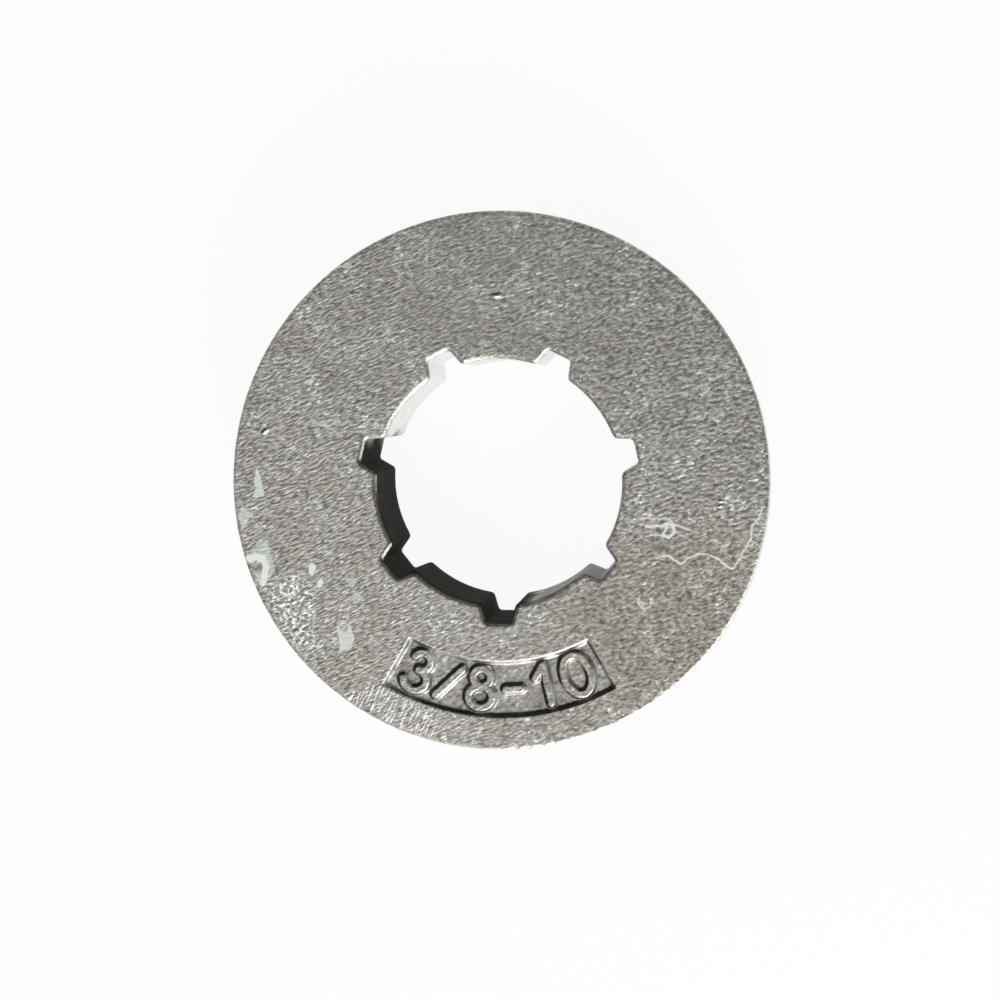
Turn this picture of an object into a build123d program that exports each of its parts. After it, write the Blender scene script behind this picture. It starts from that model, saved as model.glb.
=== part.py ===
"""Rim sprocket of a chainsaw: a one-piece cast steel ring that floats on the splined hub of the clutch drum.

The chain's tie straps run on the two rails of the rim. The tangs of its drive links drop into the pockets
between the rails, and the teeth left between the pockets push them. The splines of the bore take the drive
from the hub. A sunk panel on the front face frames the size mark.

The ring lies flat on its back face: the bore axis is +Z, the origin is on it at the back face, and the
panel is on the -Y side of the front face. Lengths are in millimetres, angles in degrees.
"""

import os
from math import cos, pi, radians, sin, tan

from build123d import *

# Chain that runs on the rim
CHAIN_PITCH = 9.525  # 3/8 inch, half the length over three rivets
STRAP_DEPTH = 2.57  # from the rivet line down to the foot of a tie strap
TOOTH_COUNT = 10  # each tooth drives one drive link, which is two pitches of chain

# Rim, rails and teeth
RIM_WIDTH = 13.0
RIM_ROUND = 0.35  # rounded outer edges of both faces
GROOVE_WIDTH = 2.4  # gap between the rails, clear of the drive links
MOUTH_FLARE = 0.5  # lead-in on the inner edges of the rails
CROWN_DROP = 1.2  # tooth crowns below the running surface of the rails
POCKET_DEPTH = 7.4  # pocket floors below the running surface
POCKET_ROUND = 2.6  # radius of a pocket floor
FLANK_ANGLE = 25.0  # of a tooth flank to the middle line of its pocket
TIP_ROUND = 0.8  # rounded tips of the teeth

# Splined bore
SPLINE_COUNT = 7
BORE_DIAMETER = 25.0  # across the lands
SLOT_DEPTH = 1.75
SLOT_ROOT = 2.4  # width at the root
SLOT_TAPER = 17.0  # of each side of a slot to its middle line
SLOT_ROOT_ROUND = 0.4
BORE_CHAMFER = 0.35
LAND_EASE = 0.2  # round that the chamfer leaves on the corners of a land

# Sunk panel of the size mark
PANEL_ARC = 60.0
PANEL_HEIGHT = 5.75
PANEL_MARGIN = 3.45  # from the panel to the edge of the rim
PANEL_DEPTH = 0.6
PANEL_DRAFT = 30.0
PANEL_SIDE = -90.0  # direction of the panel, of one slot and of one tooth from the bore axis

# Radii that follow from the chain: its rivets lie on a polygon with two sides for each tooth
half_step = pi / (2 * TOOTH_COUNT)
rivet_radius = CHAIN_PITCH / (2 * sin(half_step))
rim_radius = rivet_radius * cos(half_step) - STRAP_DEPTH
crown_radius = rim_radius - CROWN_DROP
floor_radius = rim_radius - POCKET_DEPTH

bore_radius = BORE_DIAMETER / 2
slot_radius = bore_radius + SLOT_DEPTH
land_round = BORE_CHAMFER + LAND_EASE

panel_outer = rim_radius - PANEL_MARGIN
panel_inner = panel_outer - PANEL_HEIGHT

middle_plane = Plane.XY.offset(RIM_WIDTH / 2)
front_plane = Plane.XY.offset(RIM_WIDTH)


def radius_of(vertex):
    """Distance of a vertex from the bore axis."""
    return Vector(vertex.X, vertex.Y).length


# One slot of the bore along +X: a trapezium that runs well inside the lands
with BuildSketch() as slot:
    slot_run = 2 * SLOT_DEPTH
    half_mouth = SLOT_ROOT / 2 + slot_run * tan(radians(SLOT_TAPER))
    with BuildLine():
        Polyline(
            (slot_radius - slot_run, -half_mouth),
            (slot_radius, -SLOT_ROOT / 2),
            (slot_radius, SLOT_ROOT / 2),
            (slot_radius - slot_run, half_mouth),
            close=True,
        )
    make_face()
    fillet(slot.vertices().group_by(Axis.X)[-1], SLOT_ROOT_ROUND)

# Outline of the bore: round lands with the slots between them
with BuildSketch() as bore_outline:
    Circle(bore_radius)
    with PolarLocations(0, SPLINE_COUNT, start_angle=PANEL_SIDE):
        add(slot.sketch)
    land_corners = bore_outline.vertices().filter_by(lambda v: radius_of(v) < bore_radius + LAND_EASE)
    fillet(land_corners, land_round)

# One pocket along +X: a round floor between two straight flanks that run out past the rim
with BuildSketch() as pocket:
    with BuildLine():
        floor_arc = CenterArc(
            (floor_radius + POCKET_ROUND, 0), POCKET_ROUND, 90 + FLANK_ANGLE, 180 - 2 * FLANK_ANGLE
        )
        flank_run = (POCKET_DEPTH + RIM_ROUND) / cos(radians(FLANK_ANGLE))
        left_flank = PolarLine(floor_arc @ 0, flank_run, FLANK_ANGLE)
        right_flank = PolarLine(floor_arc @ 1, flank_run, -FLANK_ANGLE)
        Line(left_flank @ 1, right_flank @ 1)
    make_face()

# Room for the chain: the groove above the tooth crowns, with a pocket for each tang
with BuildSketch(middle_plane) as chain_room:
    Circle(rim_radius + POCKET_DEPTH)
    Circle(crown_radius, mode=Mode.SUBTRACT)
    with PolarLocations(0, TOOTH_COUNT, start_angle=PANEL_SIDE + 180 / TOOTH_COUNT):
        add(pocket.sketch)
    tooth_tips = chain_room.vertices().filter_by(lambda v: abs(radius_of(v) - crown_radius) < TIP_ROUND)
    fillet(tooth_tips, TIP_ROUND)

# Outline of the sunk panel: a sector of a ring
with BuildSketch(front_plane) as panel:
    with BuildLine():
        panel_start = PANEL_SIDE - PANEL_ARC / 2
        outer_arc = CenterArc((0, 0), panel_outer, panel_start, PANEL_ARC)
        inner_arc = CenterArc((0, 0), panel_inner, panel_start, PANEL_ARC)
        Line(outer_arc @ 0, inner_arc @ 0)
        Line(outer_arc @ 1, inner_arc @ 1)
    make_face()

with BuildPart() as rim_sprocket:
    with BuildSketch():
        Circle(rim_radius)
    extrude(amount=RIM_WIDTH)
    fillet(rim_sprocket.edges().filter_by(GeomType.CIRCLE), RIM_ROUND)

    extrude(bore_outline.sketch, amount=RIM_WIDTH, mode=Mode.SUBTRACT)
    end_faces = rim_sprocket.faces().filter_by(Axis.Z)
    bore_edges = [edge for face in end_faces for edge in face.inner_wires()[0].edges()]
    chamfer(bore_edges, BORE_CHAMFER)

    extrude(chain_room.sketch, amount=GROOVE_WIDTH / 2, both=True, mode=Mode.SUBTRACT)
    rail_edges = rim_sprocket.edges().filter_by(GeomType.CIRCLE).filter_by(
        lambda e: e.radius > (crown_radius + rim_radius) / 2
        and abs(e.arc_center.Z - RIM_WIDTH / 2) < GROOVE_WIDTH
    )
    chamfer(rail_edges, MOUTH_FLARE)

    extrude(panel.sketch, amount=-PANEL_DEPTH, taper=PANEL_DRAFT, mode=Mode.SUBTRACT)

rim_sprocket.part.label = "rim_sprocket"
os.makedirs("parts", exist_ok=True)
export_step(rim_sprocket.part, "parts/rim_sprocket.step")
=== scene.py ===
"""Looks of the rim sprocket: its cast skin, raised size mark, wear and stains, painted highlights and shade, on a
pale floor in soft light.

The scene is in metres, in the frame of the solid: the bore axis is +Z, the front face is up, and the sunk
panel is on the -Y side. The skin is worked out in millimetres and degrees, and places on the front face are
given as (x, y) from the bore axis.
"""

from math import cos, pi, radians, sin

import bmesh
import bpy
import numpy as np
from mathutils import Matrix, Vector, kdtree, noise


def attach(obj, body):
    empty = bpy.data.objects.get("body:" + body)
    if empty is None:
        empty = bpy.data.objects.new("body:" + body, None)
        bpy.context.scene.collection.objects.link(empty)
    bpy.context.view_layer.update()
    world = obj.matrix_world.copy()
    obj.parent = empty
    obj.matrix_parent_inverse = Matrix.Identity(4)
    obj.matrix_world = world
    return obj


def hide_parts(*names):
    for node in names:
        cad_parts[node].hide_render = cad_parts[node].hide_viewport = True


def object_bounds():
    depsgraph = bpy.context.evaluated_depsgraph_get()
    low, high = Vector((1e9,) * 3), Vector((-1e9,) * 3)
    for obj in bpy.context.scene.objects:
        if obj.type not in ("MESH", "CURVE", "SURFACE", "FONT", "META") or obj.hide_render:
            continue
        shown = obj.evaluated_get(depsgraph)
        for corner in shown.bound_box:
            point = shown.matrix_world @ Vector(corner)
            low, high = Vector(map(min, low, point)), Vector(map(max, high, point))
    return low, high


MM = 0.001  # metres in a millimetre

# Size mark: chain pitch in inches and number of teeth, raised from the floor of the sunk panel
PITCH_INCHES = "3/8"
TOOTH_COUNT = 10
MARK_RADIUS = 21.15  # of the line through the middles of the numerals
MARK_SIDE = -90.5  # direction of the middle of the mark from the bore axis
MARK_STEP = 9.1  # angle from one numeral to the next
MARK_RISE = 0.55  # above the floor of the panel
STROKE_FOOT = 0.68  # half the width of a stroke at its foot
STROKE_CREST = 0.25  # half the width of its flat crest
NUMERAL_HALF_HEIGHT = 2.0  # of the middle line of the strokes
NUMERAL_HALF_WIDTH = 1.3
UPPER_BOWL = 0.9  # radius of the upper bowl of a 3 or an 8
ARC_RUNS = 32  # straight runs that follow a round stroke

# Sunk panel on the front face
PANEL_DEPTH = 0.6
PANEL_INNER = 18.3
PANEL_OUTER = 24.1
PANEL_SMOOTHNESS = 0.6  # its floor has less grain than the face

# Dried film on the front face: outline and strength of each stain
STAINS = [
    ([(-24.85, 1.5), (-24.4, -0.25), (-24.2, -1.6), (-25.35, -1.65), (-25.1, -0.6), (-25.35, 0.1)], 0.7),
    ([(-26.6, -2.7), (-25.35, -3.4), (-25.8, -3.8), (-26.5, -4.85), (-27.0, -3.6)], 0.55),
    (
        [(-24.65, -5.95), (-23.95, -5.95), (-23.5, -7.8), (-23.1, -9.1), (-23.95, -10.45), (-24.8, -10.9),
         (-25.25, -9.45), (-26.1, -8.1)],
        0.45,
    ),
    (
        [(-16.1, -14.25), (-15.3, -14.75), (-14.9, -15.85), (-15.1, -16.85), (-16.6, -17.8), (-16.3, -16.85),
         (-16.55, -15.85), (-16.7, -14.95)],
        0.65,
    ),
]

# Round spots of the film: middle, half axes, turn of the first axis and strength
SPOTS = [
    ((-19.25, -8.95), (0.35, 0.65), 0, 0.95),
    ((-18.45, -10.45), (0.3, 0.55), -15, 0.9),
    ((-15.1, -10.35), (0.35, 0.65), 0, 0.35),
    ((-14.65, -11.95), (0.5, 0.6), 0, 0.4),
]

# Round windows in the film, where it is thin
WINDOWS = [
    ((-25.1, -8.8), (0.75, 0.5), -35, 0.0),
    ((-15.95, -15.0), (0.42, 0.45), 0, 0.2),
]

# Thin lines of the film: points, half width and strength
TRACES = [
    (
        [(16.0, -7.6), (17.05, -7.3), (18.0, -7.8), (18.4, -8.15), (19.1, -7.7), (20.1, -7.1), (21.15, -7.2),
         (22.4, -7.7), (23.1, -8.35), (23.8, -8.55), (24.2, -7.9), (25.45, -5.65), (25.65, -4.25),
         (26.35, -3.4), (26.65, -2.4)],
        0.09,
        0.85,
    ),
    ([(14.3, -3.6), (17.35, -3.6), (17.65, -4.05), (19.6, -4.85)], 0.1, 0.65),
    (
        [(15.0, -4.45), (16.3, -4.3), (17.65, -4.15), (17.85, -4.9), (17.3, -5.5), (16.75, -5.2),
         (17.0, -4.5)],
        0.15,
        0.85,
    ),
    ([(16.75, -5.25), (15.6, -5.2)], 0.13, 0.6),
    ([(14.2, -11.8), (14.3, -12.35), (14.9, -12.75), (15.4, -12.55), (15.5, -11.8)], 0.1, 0.6),
    ([(-19.85, 5.95), (-19.1, 6.25), (-18.1, 5.8), (-17.05, 5.3), (-16.2, 4.7)], 0.14, 0.4),
    (
        [(-25.9, -7.95), (-25.2, -7.8), (-24.4, -7.9), (-24.1, -8.5), (-24.15, -9.4), (-24.4, -10.5)],
        0.36,
        0.95,
    ),
]
FILM_BLUR = 0.06  # half the width of the soft border of the film
FILM_RISE = 0.02
FILM_WAVE = 0.7  # the film's borders waver over this length
FILM_SWAY = 0.16  # by this much

# Pitted patch and scratched patch at the rim
PITTED = [
    (-24.0, -10.9), (-20.4, -9.3), (-19.1, -11.4), (-19.3, -15.1), (-18.6, -17.0), (-20.4, -17.7), (-22.5, -15.4),
]
PITTED_BLUR = 0.9
PIT_WAVE = 0.45
PIT_DEPTH = 0.07
SCRATCHED = [(-16.5, -21.5), (-12.6, -20.8), (-7.5, -22.6), (-6.0, -25.0), (-7.0, -27.0), (-15.8, -23.0)]
SCRATCHED_BLUR = 1.0

# Calmer, warmer patch of the face: middle, half axes and turn of the first axis
CALM = ((16.5, -15.0), (12.0, 8.0), 45)
CALM_BLUR = 4.0
CALM_SMOOTHNESS = 0.4

# Nodules of the casting: middle, half axes, turn of the first axis and height
NODULES = [
    ((-24.05, 5.15), (0.65, 0.3), 35, 0.2),
    ((-0.25, 18.9), (1.3, 0.3), 3, 0.14),
    ((22.4, -1.8), (0.5, 0.2), -10, 0.12),
    ((22.4, -2.3), (0.45, 0.2), 8, 0.12),
]

# Unevenness of the casting
SWELL_WAVE = 4.0
SWELL_HEIGHT = 0.015
RAGGED_WAVE = 0.9
RAGGED_DEPTH = 0.03
RAGGED_SIDE = 222.0  # the rim is most ragged in this direction
RAGGED_REACH = 35.0
RAGGED_MORE = 0.1
RIM_REACH = 0.6  # the rounded edge of the rim lies in this reach
FACE_REACH = 0.1  # the front face with its swells lies in this reach
RAIL_SHARE = 0.75  # the front rail lies above this share of the height
FLOOR_SLACK = 0.01  # the floor of the panel is found to within this

# Fineness of the skin: the longest edge allowed in each place
BODY_EDGE = 3.0
RAIL_EDGE = 0.9
RIM_EDGE = 0.4
FACE_EDGE = 0.9
CREASE_EDGE = 0.18
MARK_EDGE = 0.13
WEAR_EDGE = 0.14
PIT_EDGE = 0.28
EDGE_GROWTH = 0.8  # how fast the limit grows with the distance from what needs it
REFINE_PASSES = 7
SLIVER = 0.05  # points nearer than this are merged
WELD = 1e-4  # points of the solid's surface nearer than this are one point
COLLAPSED = 1e-3  # and faces narrower than this are dropped

# Sharp edges of the front side
CREASE_ANGLE = 25.0
CREASE_SPACING = 0.2
CREASE_REACH = 0.16  # creases are rounded within this distance
CREASE_PASSES = 3
CREASE_FACTOR = 0.5

# Painted light from one side: slopes of the front side that face this direction get a painted highlight and less
# roughness, and slopes of the face that turn away from it get painted shade
PAINTED_LIGHT_SIDE = -44.0
HIGHLIGHT_SLOPES = (0.22, 0.45)  # how far a slope faces the light side where the painted highlight starts and is full
BORE_HIGHLIGHT_SLOPES = (0.42, 0.6)  # the same on the edges of the bore
SHADE_SLOPES = (0.16, 0.36)
SHADE_MARGIN = 0.6  # the painted shade stays this far from the bore and the rim

# Splined bore, with dark painted shade on its lower left side and about half as dark painted shade next to it
BORE_REACH = 14.8  # radius that holds the whole bore
UPRIGHT = 0.6  # a face whose normal leans less than this towards the axis is a wall
SHARP_ANGLE = 40.0
BORE_SHADE_ARCS = [(223.0, 63.0, 1.0), (304.0, 20.0, 0.6)]  # middle direction, half angle and strength
BORE_SHADE_BLUR = 6.0
BORE_SHADE_WAVE = 4.0  # its borders waver over this length
BORE_SHADE_REACH = 0.3  # the painted shade of the bore fades out over this distance on the face

# Camera
CAMERA_HEIGHT = 228.0  # above the front face
CAMERA_TILT = 6.6
CAMERA_SIDE = 26.0  # direction towards which it leans, from +X
CAMERA_LENS = 81.3
AIM = (0.15, -1.8)  # point of the front face in the middle of the picture


def smoothstep(low, high, value):
    """0 below low, 1 above high and a smooth rise between them."""
    share = np.clip((value - low) / (high - low), 0, 1)
    return share * share * (3 - 2 * share)


def waver(points, wave, seed):
    """Smooth noise from -1 to 1 at each point, over a wave length."""
    shift = Vector((seed, 2 * seed, 3 * seed))
    return np.array([noise.noise(Vector(point) / wave + shift) for point in points])


def way_to_line(points, line):
    """Distance of each point from a chain of straight runs."""
    line = np.asarray(line, float)
    nearest = np.full(len(points), np.inf)
    for start, end in zip(line[:-1], line[1:]):
        run = end - start
        along = np.clip((points - start) @ run / (run @ run), 0, 1)
        away = points - start - along[:, None] * run
        nearest = np.minimum(nearest, np.hypot(away[:, 0], away[:, 1]))
    return nearest


def depth_in_outline(points, outline):
    """Distance of each point from a closed outline, positive inside it."""
    closed = np.array([*outline, outline[0]], float)
    inside = np.zeros(len(points), bool)
    for (x0, y0), (x1, y1) in zip(closed[:-1], closed[1:]):
        crossed = (y0 > points[:, 1]) != (y1 > points[:, 1])
        if crossed.any():
            inside ^= crossed & (points[:, 0] < x0 + (points[:, 1] - y0) / (y1 - y0) * (x1 - x0))
    return np.where(inside, 1, -1) * way_to_line(points, closed)


def depth_in_oval(points, middle, half_axes, turn):
    """About the distance of each point from an oval, positive inside it."""
    away = points - np.array(middle)
    along = away @ (cos(radians(turn)), sin(radians(turn)))
    across = away @ (-sin(radians(turn)), cos(radians(turn)))
    return (1 - np.hypot(along / half_axes[0], across / half_axes[1])) * min(half_axes)


def arc(middle, radii, start, end):
    """Points along an ellipse from one angle to another."""
    turns = np.radians(np.linspace(start, end, ARC_RUNS + 1))
    return np.column_stack([middle[0] + radii[0] * np.cos(turns), middle[1] + radii[1] * np.sin(turns)])


def numeral_strokes():
    """Middle lines of the strokes of each numeral, about its own middle."""
    high = NUMERAL_HALF_HEIGHT
    wide = NUMERAL_HALF_WIDTH
    lower_bowl = high - UPPER_BOWL
    upper_middle = (0, high - UPPER_BOWL)
    lower_middle = (0, lower_bowl - high)
    return {
        "0": [arc((0, 0), (1.05 * wide, 1.04 * high), 0, 360)],
        "1": [np.array([(-0.7 * wide, 0.45 * high), (0.1 * wide, high), (0.1 * wide, -high)])],
        "3": [
            arc(upper_middle, (UPPER_BOWL, UPPER_BOWL), 160, -90),
            arc(lower_middle, (0.95 * wide, lower_bowl), 90, -160),
        ],
        "8": [
            arc(upper_middle, (UPPER_BOWL, UPPER_BOWL), 0, 360),
            arc(lower_middle, (0.95 * wide, lower_bowl), 0, 360),
        ],
        "/": [np.array([(-0.8 * wide, -0.8 * high), (0.8 * wide, 0.8 * high)])],
        "-": [np.array([(-0.6 * wide, 0), (0.6 * wide, 0)])],
    }


def mark_strokes():
    """Middle lines of all strokes of the size mark, where they lie on the front face."""
    text = f"{PITCH_INCHES}-{TOOTH_COUNT}"
    shapes = numeral_strokes()
    placed = []
    for index, numeral in enumerate(text):
        turn = radians(MARK_SIDE + (index - (len(text) - 1) / 2) * MARK_STEP)
        outward = np.array([cos(turn), sin(turn)])
        reading = np.array([-sin(turn), cos(turn)])
        for stroke in shapes[numeral]:
            placed.append(MARK_RADIUS * outward + stroke[:, :1] * reading - stroke[:, 1:] * outward)
    return placed


def way_to_mark(points):
    """Distance of each point of the front face from the nearest stroke of the size mark."""
    return np.min([way_to_line(points, stroke) for stroke in mark_strokes()], axis=0)


def film_depths(points):
    """For each stain, spot and trace: its strength, and how deep each point lies in it."""
    for outline, strength in STAINS:
        yield strength, depth_in_outline(points, outline)
    for middle, half_axes, turn, strength in SPOTS:
        yield strength, depth_in_oval(points, middle, half_axes, turn)
    for line, half_width, strength in TRACES:
        yield strength, half_width - way_to_line(points, line)


def film_strength(points):
    """Strength of the dried film at each point of the front face."""
    flat = np.pad(points, ((0, 0), (0, 1)))
    sway = np.column_stack([waver(flat, FILM_WAVE, seed) for seed in (1, 2)])
    swayed = points + FILM_SWAY * sway
    film = np.zeros(len(points))
    for strength, depth in film_depths(swayed):
        film = np.maximum(film, strength * smoothstep(-FILM_BLUR, FILM_BLUR, depth))
    for middle, half_axes, turn, strength in WINDOWS:
        window = smoothstep(-FILM_BLUR, FILM_BLUR, depth_in_oval(swayed, middle, half_axes, turn))
        film = film * (1 - window) + np.minimum(film, strength) * window
    return film


def way_to_wear(points):
    """Distance of each point of the front face from the nearest border of the film or a nodule."""
    nearest = np.full(len(points), np.inf)
    for _, depth in film_depths(points):
        nearest = np.minimum(nearest, np.abs(depth))
    for middle, half_axes, turn, _ in [*WINDOWS, *NODULES]:
        nearest = np.minimum(nearest, np.abs(depth_in_oval(points, middle, half_axes, turn)))
    return nearest


def crease_tree(bm):
    """Points along the sharp edges of the front side, to look up the nearest."""
    places = []
    for edge in bm.edges:
        start, end = (v.co for v in edge.verts)
        if min(start.z, end.z) < front_height or edge.calc_face_angle(0) < radians(CREASE_ANGLE):
            continue
        count = max(1, round((end - start).length / CREASE_SPACING))
        places += [start.lerp(end, i / count) for i in range(count + 1)]
    tree = kdtree.KDTree(len(places))
    for index, place in enumerate(places):
        tree.insert(place, index)
    tree.balance()
    return tree


def way_to_creases(points, tree):
    """Distance of each point from the nearest sharp edge of the front side."""
    return np.array([tree.find(point)[2] for point in points])


def edge_limit(points, tree):
    """Longest edge allowed at each point of the skin."""
    radius = np.hypot(points[:, 0], points[:, 1])
    limit = np.full(len(points), BODY_EDGE)
    limit[(radius > PANEL_OUTER) & (points[:, 2] > RAIL_SHARE * face_height)] = RAIL_EDGE

    def lower(where, fine, distance):
        limit[where] = np.minimum(limit[where], fine + EDGE_GROWTH * np.maximum(0, distance))

    front = np.flatnonzero(points[:, 2] > front_height)
    lower(front, CREASE_EDGE, way_to_creases(points[front], tree) - CREASE_REACH)
    face = np.flatnonzero(points[:, 2] > face_height - FACE_REACH)
    lower(face, FACE_EDGE, np.zeros(len(face)))
    edge_ring = np.flatnonzero(points[:, 2] > face_height - RIM_REACH)
    lower(edge_ring, RIM_EDGE, rim_radius - RIM_REACH - radius[edge_ring])
    lower(face, WEAR_EDGE, way_to_wear(points[face, :2]) - FILM_SWAY)
    lower(face, PIT_EDGE, -depth_in_outline(points[face, :2], PITTED) - PITTED_BLUR)
    floor = (points[:, 2] < face_height - PANEL_DEPTH / 2) & (points[:, 2] > front_height)
    floor = np.flatnonzero(floor & (radius > PANEL_INNER) & (radius < PANEL_OUTER))
    lower(floor, MARK_EDGE, way_to_mark(points[floor, :2]) - STROKE_FOOT)
    return limit


def refine(bm, tree):
    """Splits the edges that are longer than the limit at their middles, over and over, and merges slivers."""
    done = bm.edges.layers.int.new("done")
    for _ in range(REFINE_PASSES):
        edges = [edge for edge in bm.edges if not edge[done]]
        ends = np.array([[v.co[:] for v in edge.verts] for edge in edges])
        lengths = np.linalg.norm(ends[:, 1] - ends[:, 0], axis=1)
        too_long = lengths > edge_limit(ends.mean(axis=1), tree)
        for edge, long in zip(edges, too_long):
            edge[done] = not long
        split = [edge for edge, long in zip(edges, too_long) if long]
        bmesh.ops.subdivide_edges(bm, edges=split, cuts=1)
        bmesh.ops.triangulate(bm, faces=[face for face in bm.faces if len(face.verts) > 3])
    bm.edges.layers.int.remove(done)
    bmesh.ops.remove_doubles(bm, verts=bm.verts, dist=SLIVER)


def raise_mark(points):
    """Lifts the floor of the panel into the strokes of the size mark."""
    floor = face_height - PANEL_DEPTH
    radius = np.hypot(points[:, 0], points[:, 1])
    panel = np.flatnonzero((points[:, 2] > floor - FLOOR_SLACK) & (radius > PANEL_INNER) & (radius < PANEL_OUTER))
    crest = smoothstep(-STROKE_FOOT, -STROKE_CREST, -way_to_mark(points[panel, :2]))
    points[panel, 2] = np.maximum(points[panel, 2], floor + MARK_RISE * crest)


def stain_masks(points):
    """Strength of the film, smoothness, calm, pits and scratches, from 0 to 1, at each point of the skin."""
    masks = {name: np.zeros(len(points)) for name in ("film", "smooth", "calm", "pitted", "scratched")}
    radius = np.hypot(points[:, 0], points[:, 1])
    sunk = (points[:, 2] > front_height) & (points[:, 2] < face_height - FACE_REACH)
    masks["smooth"][sunk & (radius > PANEL_INNER) & (radius < PANEL_OUTER)] = PANEL_SMOOTHNESS
    face = np.flatnonzero(points[:, 2] > face_height - FACE_REACH)
    spots = points[face, :2]
    masks["film"][face] = film_strength(spots)
    masks["calm"][face] = smoothstep(-CALM_BLUR, CALM_BLUR, depth_in_oval(spots, *CALM))
    masks["smooth"][face] = np.maximum(masks["film"][face], CALM_SMOOTHNESS * masks["calm"][face])
    masks["pitted"][face] = smoothstep(-PITTED_BLUR, PITTED_BLUR, depth_in_outline(spots, PITTED))
    masks["scratched"][face] = smoothstep(-SCRATCHED_BLUR, SCRATCHED_BLUR, depth_in_outline(spots, SCRATCHED))
    return masks


def slope_masks(points, normals, tree):
    """Painted highlight, painted shade of the face slopes and painted shade of the bore, from 0 to 1, at each
    point of the skin.
    """
    masks = {name: np.zeros(len(points)) for name in ("painted_highlight", "painted_shade", "bore_shade")}
    radius = np.hypot(points[:, 0], points[:, 1])
    turns = np.degrees(np.arctan2(points[:, 1], points[:, 0])) % 360
    facing = normals[:, :2] @ (cos(radians(PAINTED_LIGHT_SIDE)), sin(radians(PAINTED_LIGHT_SIDE)))
    front = np.flatnonzero(points[:, 2] > front_height)
    # Painted highlight on the slopes that face the light side
    masks["painted_highlight"][front] = smoothstep(*HIGHLIGHT_SLOPES, facing[front])
    bore = np.flatnonzero(radius < BORE_REACH)
    masks["painted_highlight"][bore] = smoothstep(*BORE_HIGHLIGHT_SLOPES, facing[bore])
    flat = front[(radius[front] > BORE_REACH + SHADE_MARGIN) & (radius[front] < rim_radius - SHADE_MARGIN)]
    # Painted shade on the slopes of the face that turn away from the light side
    masks["painted_shade"][flat] = smoothstep(*SHADE_SLOPES, -facing[flat])
    # Painted shade of the bore: dark on its lower left side, weaker next to it, fading out on the face near its
    # edges
    sway = BORE_SHADE_BLUR * waver(points, BORE_SHADE_WAVE, 7)
    dark = np.zeros(len(points))
    for middle, half_arc, strength in BORE_SHADE_ARCS:
        depth = half_arc - np.abs(turns - middle) + sway
        dark = np.maximum(dark, strength * smoothstep(-BORE_SHADE_BLUR, BORE_SHADE_BLUR, depth))
    masks["bore_shade"][bore] = dark[bore]
    bore_edge = np.flatnonzero((points[:, 2] > face_height - FACE_REACH) & (radius < BORE_REACH + BORE_SHADE_REACH))
    bore_shade_fade = 1 - smoothstep(0, BORE_SHADE_REACH, way_to_creases(points[bore_edge], tree))
    masks["bore_shade"][bore_edge] = dark[bore_edge] * bore_shade_fade
    return masks


def roughen(points, normals, masks):
    """Gives the skin the swells, nodules, pits and ragged rim of a casting, and the thickness of the film."""
    rise = SWELL_HEIGHT * waver(points, SWELL_WAVE, 0) + FILM_RISE * masks["film"]
    rise += PIT_DEPTH * masks["pitted"] * waver(points, PIT_WAVE, 3)
    face = np.flatnonzero(points[:, 2] > face_height - FACE_REACH)
    for middle, half_axes, turn, height in NODULES:
        depth = depth_in_oval(points[face, :2], middle, half_axes, turn)
        rise[face] += height * smoothstep(0, min(half_axes), depth)
    turns = np.degrees(np.arctan2(points[:, 1], points[:, 0])) % 360
    ragged = RAGGED_DEPTH + RAGGED_MORE * (1 - smoothstep(0, RAGGED_REACH, np.abs(turns - RAGGED_SIDE)))
    rail = np.hypot(points[:, 0], points[:, 1]) > rim_radius - RIM_REACH
    rail &= points[:, 2] > RAIL_SHARE * face_height
    dent = np.minimum(0, waver(points[rail], RAGGED_WAVE, 5))
    rise[rail] += ragged[rail] * dent
    return points + normals * rise[:, None]


def skin_mesh(node):
    """The skin of the casting: the solid's own surface, made finer and given its mark and wear."""
    bm = bmesh.new()
    bm.from_mesh(node.data)
    bmesh.ops.scale(bm, vec=(1 / MM,) * 3, verts=bm.verts)
    bmesh.ops.remove_doubles(bm, verts=bm.verts, dist=WELD)
    bmesh.ops.dissolve_degenerate(bm, dist=COLLAPSED, edges=bm.edges)
    bmesh.ops.triangulate(bm, faces=bm.faces)
    tree = crease_tree(bm)
    refine(bm, tree)
    points = np.array([v.co[:] for v in bm.verts])
    raise_mark(points)
    for vert, point in zip(bm.verts, points):
        vert.co = point
    creased = [v for v in bm.verts if v.co.z > front_height and tree.find(v.co)[2] < CREASE_REACH]
    for _ in range(CREASE_PASSES):
        bmesh.ops.smooth_vert(
            bm, verts=creased, factor=CREASE_FACTOR, use_axis_x=True, use_axis_y=True, use_axis_z=True
        )
    bm.normal_update()
    points = np.array([v.co[:] for v in bm.verts])
    normals = np.array([v.normal[:] for v in bm.verts])
    mesh = bpy.data.meshes.new("rim_sprocket_skin")
    bm.to_mesh(mesh)
    bm.free()
    masks = stain_masks(points)
    points = roughen(points, normals, masks)
    mesh.vertices.foreach_set("co", (points * MM).ravel())
    mesh.update()
    normals = np.array([normal.vector[:] for normal in mesh.vertex_normals])
    masks |= slope_masks(points, normals, tree)
    for name, values in masks.items():
        mesh.attributes.new(name, "FLOAT", "POINT").data.foreach_set("value", values)
    return mesh


def add_node(tree, kind, inputs=None, **settings):
    """Adds a shader node, with values or links on its inputs."""
    node = tree.nodes.new(kind)
    for name, value in settings.items():
        setattr(node, name, value)
    for name, value in (inputs or {}).items():
        socket = node.inputs[name]
        if isinstance(value, bpy.types.NodeSocket):
            tree.links.new(value, socket)
        else:
            socket.default_value = value
    return node


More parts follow.
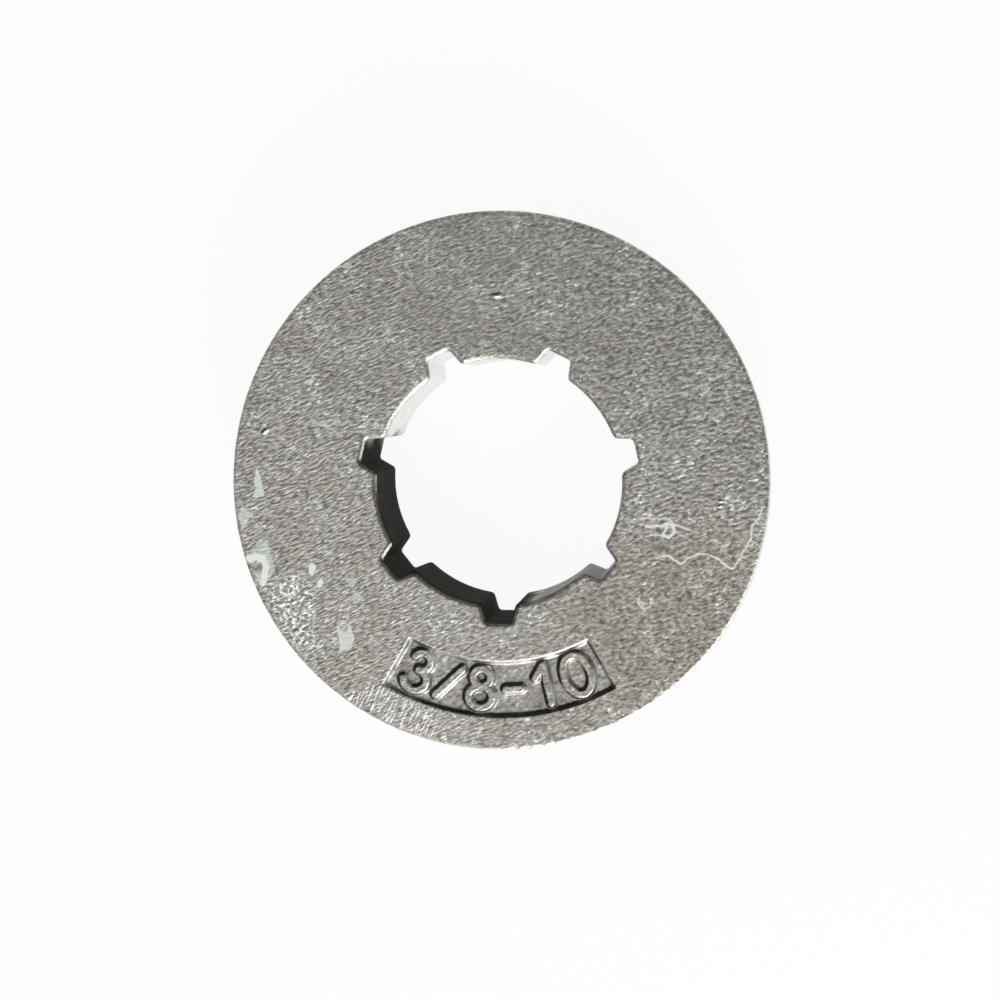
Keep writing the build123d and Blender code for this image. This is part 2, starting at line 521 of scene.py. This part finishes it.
def new_material(name):
    """An empty material, with its node tree and its output."""
    material = bpy.data.materials.new(name)
    material.use_nodes = True
    tree = material.node_tree
    tree.nodes.clear()
    return material, tree, tree.nodes.new("ShaderNodeOutputMaterial")


def noise_field(tree, vector, size, detail):
    """Noise from 0 to 1, with grains of about the given size in millimetres."""
    inputs = {"Vector": vector, "Scale": 1 / (size * MM), "Detail": detail, "Roughness": 0.55}
    return add_node(tree, "ShaderNodeTexNoise", inputs).outputs["Fac"]


def stretched(tree, vector, turn, stretch):
    """Coordinates in which grains come out stretched in a direction of the front face."""
    inputs = {"Vector": vector, "Rotation": (0, 0, radians(turn)), "Scale": (stretch, 1, 1)}
    return add_node(tree, "ShaderNodeMapping", inputs, vector_type="TEXTURE").outputs["Vector"]


def remap(tree, value, low, high, to_low, to_high):
    """A value moved from one range to another, and kept inside it."""
    inputs = {"Value": value, "From Min": low, "From Max": high, "To Min": to_low, "To Max": to_high}
    return add_node(tree, "ShaderNodeMapRange", inputs).outputs["Result"]


def product(tree, first, second):
    """Two values multiplied."""
    return add_node(tree, "ShaderNodeMath", {0: first, 1: second}, operation="MULTIPLY").outputs[0]


def mix_values(tree, share, first, second):
    """A blend of two values."""
    return add_node(tree, "ShaderNodeMix", {0: share, 2: first, 3: second}).outputs[0]


def mix_colours(tree, share, first, second, blend="MIX"):
    """A blend of two colours."""
    inputs = {0: share, 6: first, 7: second}
    return add_node(tree, "ShaderNodeMix", inputs, data_type="RGBA", blend_type=blend).outputs[2]


def ramp(tree, value, low, low_colour, high, high_colour):
    """A colour that goes from one to another as a value rises."""
    node = add_node(tree, "ShaderNodeValToRGB", {"Fac": value})
    for element, position, colour in zip(node.color_ramp.elements, (low, high), (low_colour, high_colour)):
        element.position = position
        element.color = (*colour, 1)
    return node.outputs["Color"]


def mask(tree, name):
    """One of the wear masks of the skin."""
    return add_node(tree, "ShaderNodeAttribute", attribute_name=name).outputs["Fac"]


def cast_steel():
    """Blasted grey steel: worm-like grain that runs up to the right, painted glints, painted highlights and
    painted shade on slopes by how they face the light, painted shade about the bore, and dried film.
    """
    material, tree, output = new_material("cast_steel")
    place = add_node(tree, "ShaderNodeTexCoord").outputs["Object"]
    streaks = noise_field(tree, stretched(tree, place, 25, 2.6), size=0.24, detail=3)
    pebbles = noise_field(tree, stretched(tree, place, 20, 1.6), size=0.34, detail=3)
    side = add_node(tree, "ShaderNodeSeparateXYZ", {0: place}).outputs["X"]
    grain = mix_values(tree, remap(tree, side, -0.015, 0.015, 0.1, 0.9), streaks, pebbles)
    relief = remap(tree, grain, 0.32, 0.68, 0, 1)
    clouds = noise_field(tree, place, size=4.0, detail=3)
    # Painted glints: small bright flecks laid into the colour, thicker in some clouds
    painted_glints = noise_field(tree, stretched(tree, place, 25, 1.5), size=0.4, detail=1)
    painted_glints = product(tree, remap(tree, painted_glints, 0.6, 0.7, 0, 1), remap(tree, clouds, 0.45, 0.6, 0.3, 0.9))
    chips = remap(tree, noise_field(tree, place, size=0.42, detail=2), 0.51, 0.58, 0, 1)
    chips = product(tree, chips, mask(tree, "pitted"))
    scores = noise_field(tree, stretched(tree, place, 63, 9.0), size=0.22, detail=1)
    scores = product(tree, remap(tree, scores, 0.54, 0.64, 0, 1), mask(tree, "scratched"))
    film = mask(tree, "film")
    painted_highlight = mask(tree, "painted_highlight")
    # Painted shade of the bore on its edges at the face, kept off where the painted highlight is
    painted_bore_shade = product(tree, mask(tree, "bore_shade"), remap(tree, painted_highlight, 0, 1, 1, 0))
    painted_shade = mask(tree, "painted_shade")

    colour = ramp(tree, relief, 0.0, (0.155, 0.147, 0.132), 1.0, (0.62, 0.603, 0.555))
    tone = ramp(tree, clouds, 0.35, (0.87, 0.865, 0.85), 0.65, (1.0, 1.0, 1.0))
    colour = mix_colours(tree, 1.0, colour, tone, "MULTIPLY")
    colour = mix_colours(tree, mask(tree, "calm"), colour, (0.95, 0.925, 0.88, 1), "MULTIPLY")
    # Painted glints
    colour = mix_colours(tree, product(tree, painted_glints, 0.7), colour, (0.95, 0.94, 0.9, 1))
    colour = mix_colours(tree, product(tree, chips, 0.9), colour, (0.95, 0.97, 0.94, 1))
    colour = mix_colours(tree, product(tree, scores, 0.8), colour, (0.95, 0.94, 0.89, 1))
    # Painted highlight on the slopes that face the light side
    colour = mix_colours(tree, product(tree, painted_highlight, 0.8), colour, (0.92, 0.91, 0.88, 1))
    # Painted shade of the bore
    colour = mix_colours(tree, product(tree, painted_bore_shade, 0.95), colour, (0.03, 0.025, 0.02, 1))
    # Painted shade on the slopes of the face that turn away from the light side
    colour = mix_colours(tree, product(tree, painted_shade, 0.93), colour, (0.022, 0.018, 0.015, 1))
    colour = mix_colours(tree, film, colour, (0.84, 0.9, 0.84, 1))

    roughness = remap(tree, relief, 0, 1, 0.54, 0.4)
    roughness = mix_values(tree, painted_highlight, roughness, 0.42)
    roughness = mix_values(tree, film, roughness, 0.6)
    strength = remap(tree, mask(tree, "smooth"), 0, 1, 1, 0.15)
    bump = add_node(tree, "ShaderNodeBump", {"Height": relief, "Strength": strength, "Distance": 0.065 * MM})
    surface = {
        "Base Color": colour,
        "Metallic": product(tree, remap(tree, film, 0, 1, 1, 0), remap(tree, painted_bore_shade, 0, 1, 1, 0)),
        "Roughness": roughness,
        "Specular IOR Level": 0.1,
        "Normal": bump.outputs["Normal"],
    }
    shader = add_node(tree, "ShaderNodeBsdfPrincipled", surface)
    tree.links.new(shader.outputs["BSDF"], output.inputs["Surface"])
    return material


def bore_steel():
    """The wall of the bore: smooth steel, with dark brown painted shade on one side."""
    material, tree, output = new_material("bore_steel")
    place = add_node(tree, "ShaderNodeTexCoord").outputs["Object"]
    mottle = noise_field(tree, place, size=1.2, detail=4)
    bore_shade = mask(tree, "bore_shade")
    bare = ramp(tree, mottle, 0.35, (0.8, 0.79, 0.76), 0.7, (0.92, 0.91, 0.89))
    # Painted shade: the dark brown, dull, not metallic colour laid where the bore lies in shade
    scale = ramp(tree, mottle, 0.35, (0.01, 0.0075, 0.0055), 0.7, (0.036, 0.027, 0.02))
    bump = add_node(tree, "ShaderNodeBump", {"Height": mottle, "Strength": 0.5, "Distance": 0.03 * MM})
    surface = {
        "Base Color": mix_colours(tree, bore_shade, bare, scale),
        "Metallic": remap(tree, bore_shade, 0, 1, 1, 0),
        "Roughness": remap(tree, bore_shade, 0, 1, 0.3, 0.8),
        "Specular IOR Level": 0.08,
        "Normal": bump.outputs["Normal"],
    }
    shader = add_node(tree, "ShaderNodeBsdfPrincipled", surface)
    tree.links.new(shader.outputs["BSDF"], output.inputs["Surface"])
    return material


def add_skin(node):
    """Makes the skin and sets it in the place of the solid."""
    skin = bpy.data.objects.new("rim_sprocket_skin", skin_mesh(node))
    bpy.context.scene.collection.objects.link(skin)
    mesh = skin.data
    mesh.materials.append(cast_steel())
    mesh.materials.append(bore_steel())
    for face in mesh.polygons:
        wall = abs(face.normal.z) < UPRIGHT and face.center.xy.length < BORE_REACH * MM
        face.material_index = int(wall)
    mesh.shade_smooth()
    mesh.set_sharp_from_angle(angle=radians(SHARP_ANGLE))
    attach(skin, "root")
    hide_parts("rim_sprocket")


def add_floor():
    """A pale floor that looks white to the camera and in the metal, and still takes the shadow."""
    bpy.ops.mesh.primitive_plane_add(size=6.0)
    floor = bpy.context.object
    floor.name = "floor"
    material, tree, output = new_material("white_floor")
    rays = add_node(tree, "ShaderNodeLightPath").outputs
    seen = rays["Is Camera Ray"]
    for kind in ("Is Glossy Ray", "Is Transmission Ray"):
        seen = add_node(tree, "ShaderNodeMath", {0: seen, 1: rays[kind]}, operation="MAXIMUM").outputs[0]
    paper = add_node(tree, "ShaderNodeBsdfDiffuse", {"Color": (0.9, 0.9, 0.9, 1)})
    glow = add_node(tree, "ShaderNodeEmission", {"Color": (1, 1, 1, 1), "Strength": 1.0})
    mixed = {0: product(tree, seen, 0.93), 1: paper.outputs[0], 2: glow.outputs[0]}
    tree.links.new(add_node(tree, "ShaderNodeMixShader", mixed).outputs[0], output.inputs["Surface"])
    floor.data.materials.append(material)


def add_lamp(name, side, height, distance, size, glow):
    """A square soft box that looks at the sprocket from a direction, with an even glow over its face."""
    lamp = bpy.data.lights.new(name, "AREA")
    lamp.size = size
    lamp.energy = glow * pi * size**2
    holder = bpy.data.objects.new(name, lamp)
    bpy.context.scene.collection.objects.link(holder)
    turn, rise = radians(side), radians(height)
    towards = Vector((cos(rise) * cos(turn), cos(rise) * sin(turn), sin(rise)))
    holder.location = towards * distance
    holder.rotation_euler = towards.to_track_quat("Z", "Y").to_euler()


def add_lights():
    """A low key from below the picture, a soft box overhead on the left and a room bright low down."""
    add_lamp("key", side=-68, height=28, distance=0.35, size=0.29, glow=4.4)
    add_lamp("overhead", side=-155, height=66, distance=0.42, size=0.36, glow=1.0)
    world = bpy.data.worlds.new("room")
    bpy.context.scene.world = world
    world.use_nodes = True
    tree = world.node_tree
    way = add_node(tree, "ShaderNodeTexCoord").outputs["Generated"]
    height = add_node(tree, "ShaderNodeSeparateXYZ", {0: way}).outputs["Z"]
    background = tree.nodes["Background"]
    background.inputs["Color"].default_value = (1, 1, 1, 1)
    tree.links.new(remap(tree, height, 0.15, 0.5, 0.9, 0.28), background.inputs["Strength"])


def add_camera():
    """The photograph's view: almost straight down on the front face, leaning a little to the right."""
    data = bpy.data.cameras.new("camera")
    data.lens = CAMERA_LENS
    camera = bpy.data.objects.new("camera", data)
    bpy.context.scene.collection.objects.link(camera)
    bpy.context.scene.camera = camera
    tilt, side = radians(CAMERA_TILT), radians(CAMERA_SIDE)
    back = Vector((sin(tilt) * cos(side), sin(tilt) * sin(side), cos(tilt)))
    right = Vector((0, 1, 0)).cross(back).normalized()
    up = back.cross(right)
    place = Vector((*AIM, face_height)) + back * CAMERA_HEIGHT / cos(tilt)
    turned = Matrix((right, up, back)).transposed().to_4x4()
    camera.matrix_world = Matrix.Translation(place * MM) @ turned


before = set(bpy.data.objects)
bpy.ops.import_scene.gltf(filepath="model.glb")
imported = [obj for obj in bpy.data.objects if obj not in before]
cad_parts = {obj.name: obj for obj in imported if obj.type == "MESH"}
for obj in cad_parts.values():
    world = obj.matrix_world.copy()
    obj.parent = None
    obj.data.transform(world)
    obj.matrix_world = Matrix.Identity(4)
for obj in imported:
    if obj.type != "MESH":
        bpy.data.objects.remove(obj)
cad_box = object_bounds()
face_height = cad_box[1].z / MM
rim_radius = cad_box[1].x / MM
front_height = face_height - 2 * PANEL_DEPTH

add_skin(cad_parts["rim_sprocket"])
add_floor()
add_lights()
add_camera()
bpy.context.scene.view_settings.view_transform = "Standard"
